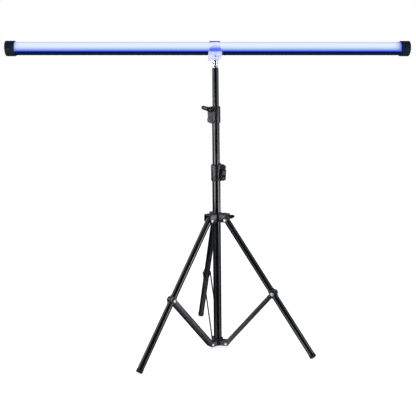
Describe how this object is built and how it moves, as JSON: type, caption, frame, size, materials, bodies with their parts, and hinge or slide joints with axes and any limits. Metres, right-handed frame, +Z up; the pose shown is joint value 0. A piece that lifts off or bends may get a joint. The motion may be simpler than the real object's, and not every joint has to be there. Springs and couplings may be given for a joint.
{
  "type": "led light tube",
  "caption": "Battery LED light tube held level by a clear clip on top of a black folding tripod light stand with a telescoping mast and lever locks.",
  "frame": {"origin": "on the floor under the middle of the whole object's box", "axes": "+X along the light tube towards its button end, +Y across it away from the viewer of the front, +Z up"},
  "size_m": [1.1669, 0.508, 0.9383],
  "materials": {
    "tube_black": "gloss black powder coat on steel tube",
    "brace_black": "satin black paint on flat steel bar",
    "plastic_black": "fine-textured moulded black plastic",
    "rubber_black": "matt black rubber",
    "chrome": "polished",
    "steel": "zinc-plated, satin",
    "brass": "turned",
    "clear_plastic": "clear polycarbonate, polished",
    "housing_navy": "satin dark navy anodised extrusion",
    "opal": "opal diffuser, lit cool white to blue",
    "board_white": "white solder mask",
    "board_green": "green solder mask",
    "cell_wrap": "blue shrink sleeve"
  },
  "bodies": {
    "mast_base": {"lower_mast_tube": "tube_black", "lower_hub": "plastic_black", "hub_pin_rear": "chrome", "hub_pin_left": "chrome", "hub_pin_right": "chrome", "lower_lock_body": "plastic_black", "lower_lock_bolt": "steel", "lower_lock_nut": "steel"},
    "lower_lever": {"lower_lock_lever": "plastic_black"},
    "middle_mast": {"middle_mast_tube": "tube_black", "middle_guide_bush": "plastic_black", "upper_lock_body": "plastic_black", "upper_lock_bolt": "steel", "upper_lock_nut": "steel"},
    "upper_lever": {"upper_lock_lever": "plastic_black"},
    "top_mast": {"top_mast_tube": "tube_black", "top_guide_bush": "plastic_black", "spigot": "chrome"},
    "leg_collar": {"leg_collar": "plastic_black", "leg_pin_rear": "chrome", "leg_pin_left": "chrome", "leg_pin_right": "chrome"},
    "collar_knob": {"collar_knob": "plastic_black", "collar_knob_screw": "steel"},
    "leg_rear": {"leg_tube_rear": "tube_black", "leg_clamp_rear": "plastic_black", "clamp_pin_rear": "steel", "foot_rear": "rubber_black"},
    "leg_left": {"leg_tube_left": "tube_black", "leg_clamp_left": "plastic_black", "clamp_pin_left": "steel", "foot_left": "rubber_black"},
    "leg_right": {"leg_tube_right": "tube_black", "leg_clamp_right": "plastic_black", "clamp_pin_right": "steel", "foot_right": "rubber_black"},
    "brace_rear": {"brace_bar_a_rear": "brace_black", "brace_bar_b_rear": "brace_black"},
    "brace_left": {"brace_bar_a_left": "brace_black", "brace_bar_b_left": "brace_black"},
    "brace_right": {"brace_bar_a_right": "brace_black", "brace_bar_b_right": "brace_black"},
    "clip": {"clip_saddle": "clear_plastic", "clip_strap": "clear_plastic", "clip_thread_insert": "brass", "clip_bolt": "steel", "clip_nut": "steel"},
    "light_tube": {"tube_housing": "housing_navy", "diffuser": "opal", "led_board": "board_white", "battery_pack": "cell_wrap", "left_end_cap": "plastic_black", "right_end_cap": "plastic_black", "left_cap_screw": "steel", "right_cap_screw": "steel", "left_bulkhead": "plastic_black", "right_bulkhead": "plastic_black", "control_board": "board_green", "charge_inlet": "steel"},
    "power_button": {"power_button": "rubber_black"}
  },
  "joints": [
    {"name": "middle_slide", "type": "slide", "parent": "mast_base", "child": "middle_mast", "axis": [0, 0, 1], "range_m": [-0.112, 0.29]},
    {"name": "top_slide", "type": "slide", "parent": "middle_mast", "child": "top_mast", "axis": [0, 0, 1], "range_m": [-0.1, 0.33]},
    {"name": "lower_lever_swing", "type": "hinge", "parent": "mast_base", "child": "lower_lever", "pos_m": [0.0399, -0.0492, 0.5337], "axis": [0, -1, 0], "range_deg": [-93, 0]},
    {"name": "upper_lever_swing", "type": "hinge", "parent": "middle_mast", "child": "upper_lever", "pos_m": [0.003, -0.0492, 0.7356], "axis": [0, -1, 0], "range_deg": [0, 100]},
    {"name": "collar_slide", "type": "slide", "parent": "mast_base", "child": "leg_collar", "axis": [0, 0, 1], "range_m": [0, 0.09641]},
    {"name": "collar_knob_turn", "type": "hinge", "parent": "leg_collar", "child": "collar_knob", "pos_m": [0.04136, -0.02966, 0.407], "axis": [0.7588, 0.6513, 0], "range_deg": [0, 270]},
    {"name": "leg_fold_rear", "type": "hinge", "parent": "leg_collar", "child": "leg_rear", "pos_m": [0.01295, -0.01913, 0.4077], "axis": [-0.9828, -0.1846, 0], "range_deg": [-0.05, 31.37]},
    {"name": "leg_fold_left", "type": "hinge", "parent": "leg_collar", "child": "leg_left", "pos_m": [-0.00462, -0.06913, 0.4077], "axis": [0.6513, -0.7588, 0], "range_deg": [-0.05, 31.37]},
    {"name": "leg_fold_right", "type": "hinge", "parent": "leg_collar", "child": "leg_right", "pos_m": [0.04747, -0.05934, 0.4077], "axis": [0.3315, 0.9435, 0], "range_deg": [-0.05, 31.37]},
    {"name": "brace_fold_rear", "type": "hinge", "parent": "mast_base", "child": "brace_rear", "pos_m": [0.01295, -0.01913, 0.01721], "axis": [-0.9828, -0.1846, 0], "range_deg": [-37.3, 0.05]},
    {"name": "brace_fold_left", "type": "hinge", "parent": "mast_base", "child": "brace_left", "pos_m": [-0.00462, -0.06913, 0.01721], "axis": [0.6513, -0.7588, 0], "range_deg": [-37.3, 0.05]},
    {"name": "brace_fold_right", "type": "hinge", "parent": "mast_base", "child": "brace_right", "pos_m": [0.04747, -0.05934, 0.01721], "axis": [0.3315, 0.9435, 0], "range_deg": [-37.3, 0.05]},
    {"name": "head_pan", "type": "hinge", "parent": "top_mast", "child": "clip", "pos_m": [0.0186, -0.0492, 0.88], "axis": [0, 0, 1], "range_deg": [-180, 180]},
    {"name": "tube_roll", "type": "hinge", "parent": "clip", "child": "light_tube", "pos_m": [0.0186, -0.0492, 0.9102], "axis": [0.9998, 0.0187, -0.0105], "range_deg": [-180, 180]},
    {"name": "power_button_press", "type": "slide", "parent": "light_tube", "child": "power_button", "axis": [-0.9998, -0.0187, 0.0105], "range_m": [0, 0.0008], "stiffness_N_per_m": 600}
  ],
  "couplings": [
    {"joint": "leg_fold_rear", "follows": "collar_slide", "rad_per_m": 5.6699},
    {"joint": "leg_fold_left", "follows": "collar_slide", "rad_per_m": 5.6699},
    {"joint": "leg_fold_right", "follows": "collar_slide", "rad_per_m": 5.6699},
    {"joint": "brace_fold_rear", "follows": "collar_slide", "rad_per_m": -6.7428},
    {"joint": "brace_fold_left", "follows": "collar_slide", "rad_per_m": -6.7428},
    {"joint": "brace_fold_right", "follows": "collar_slide", "rad_per_m": -6.7428}
  ]
}
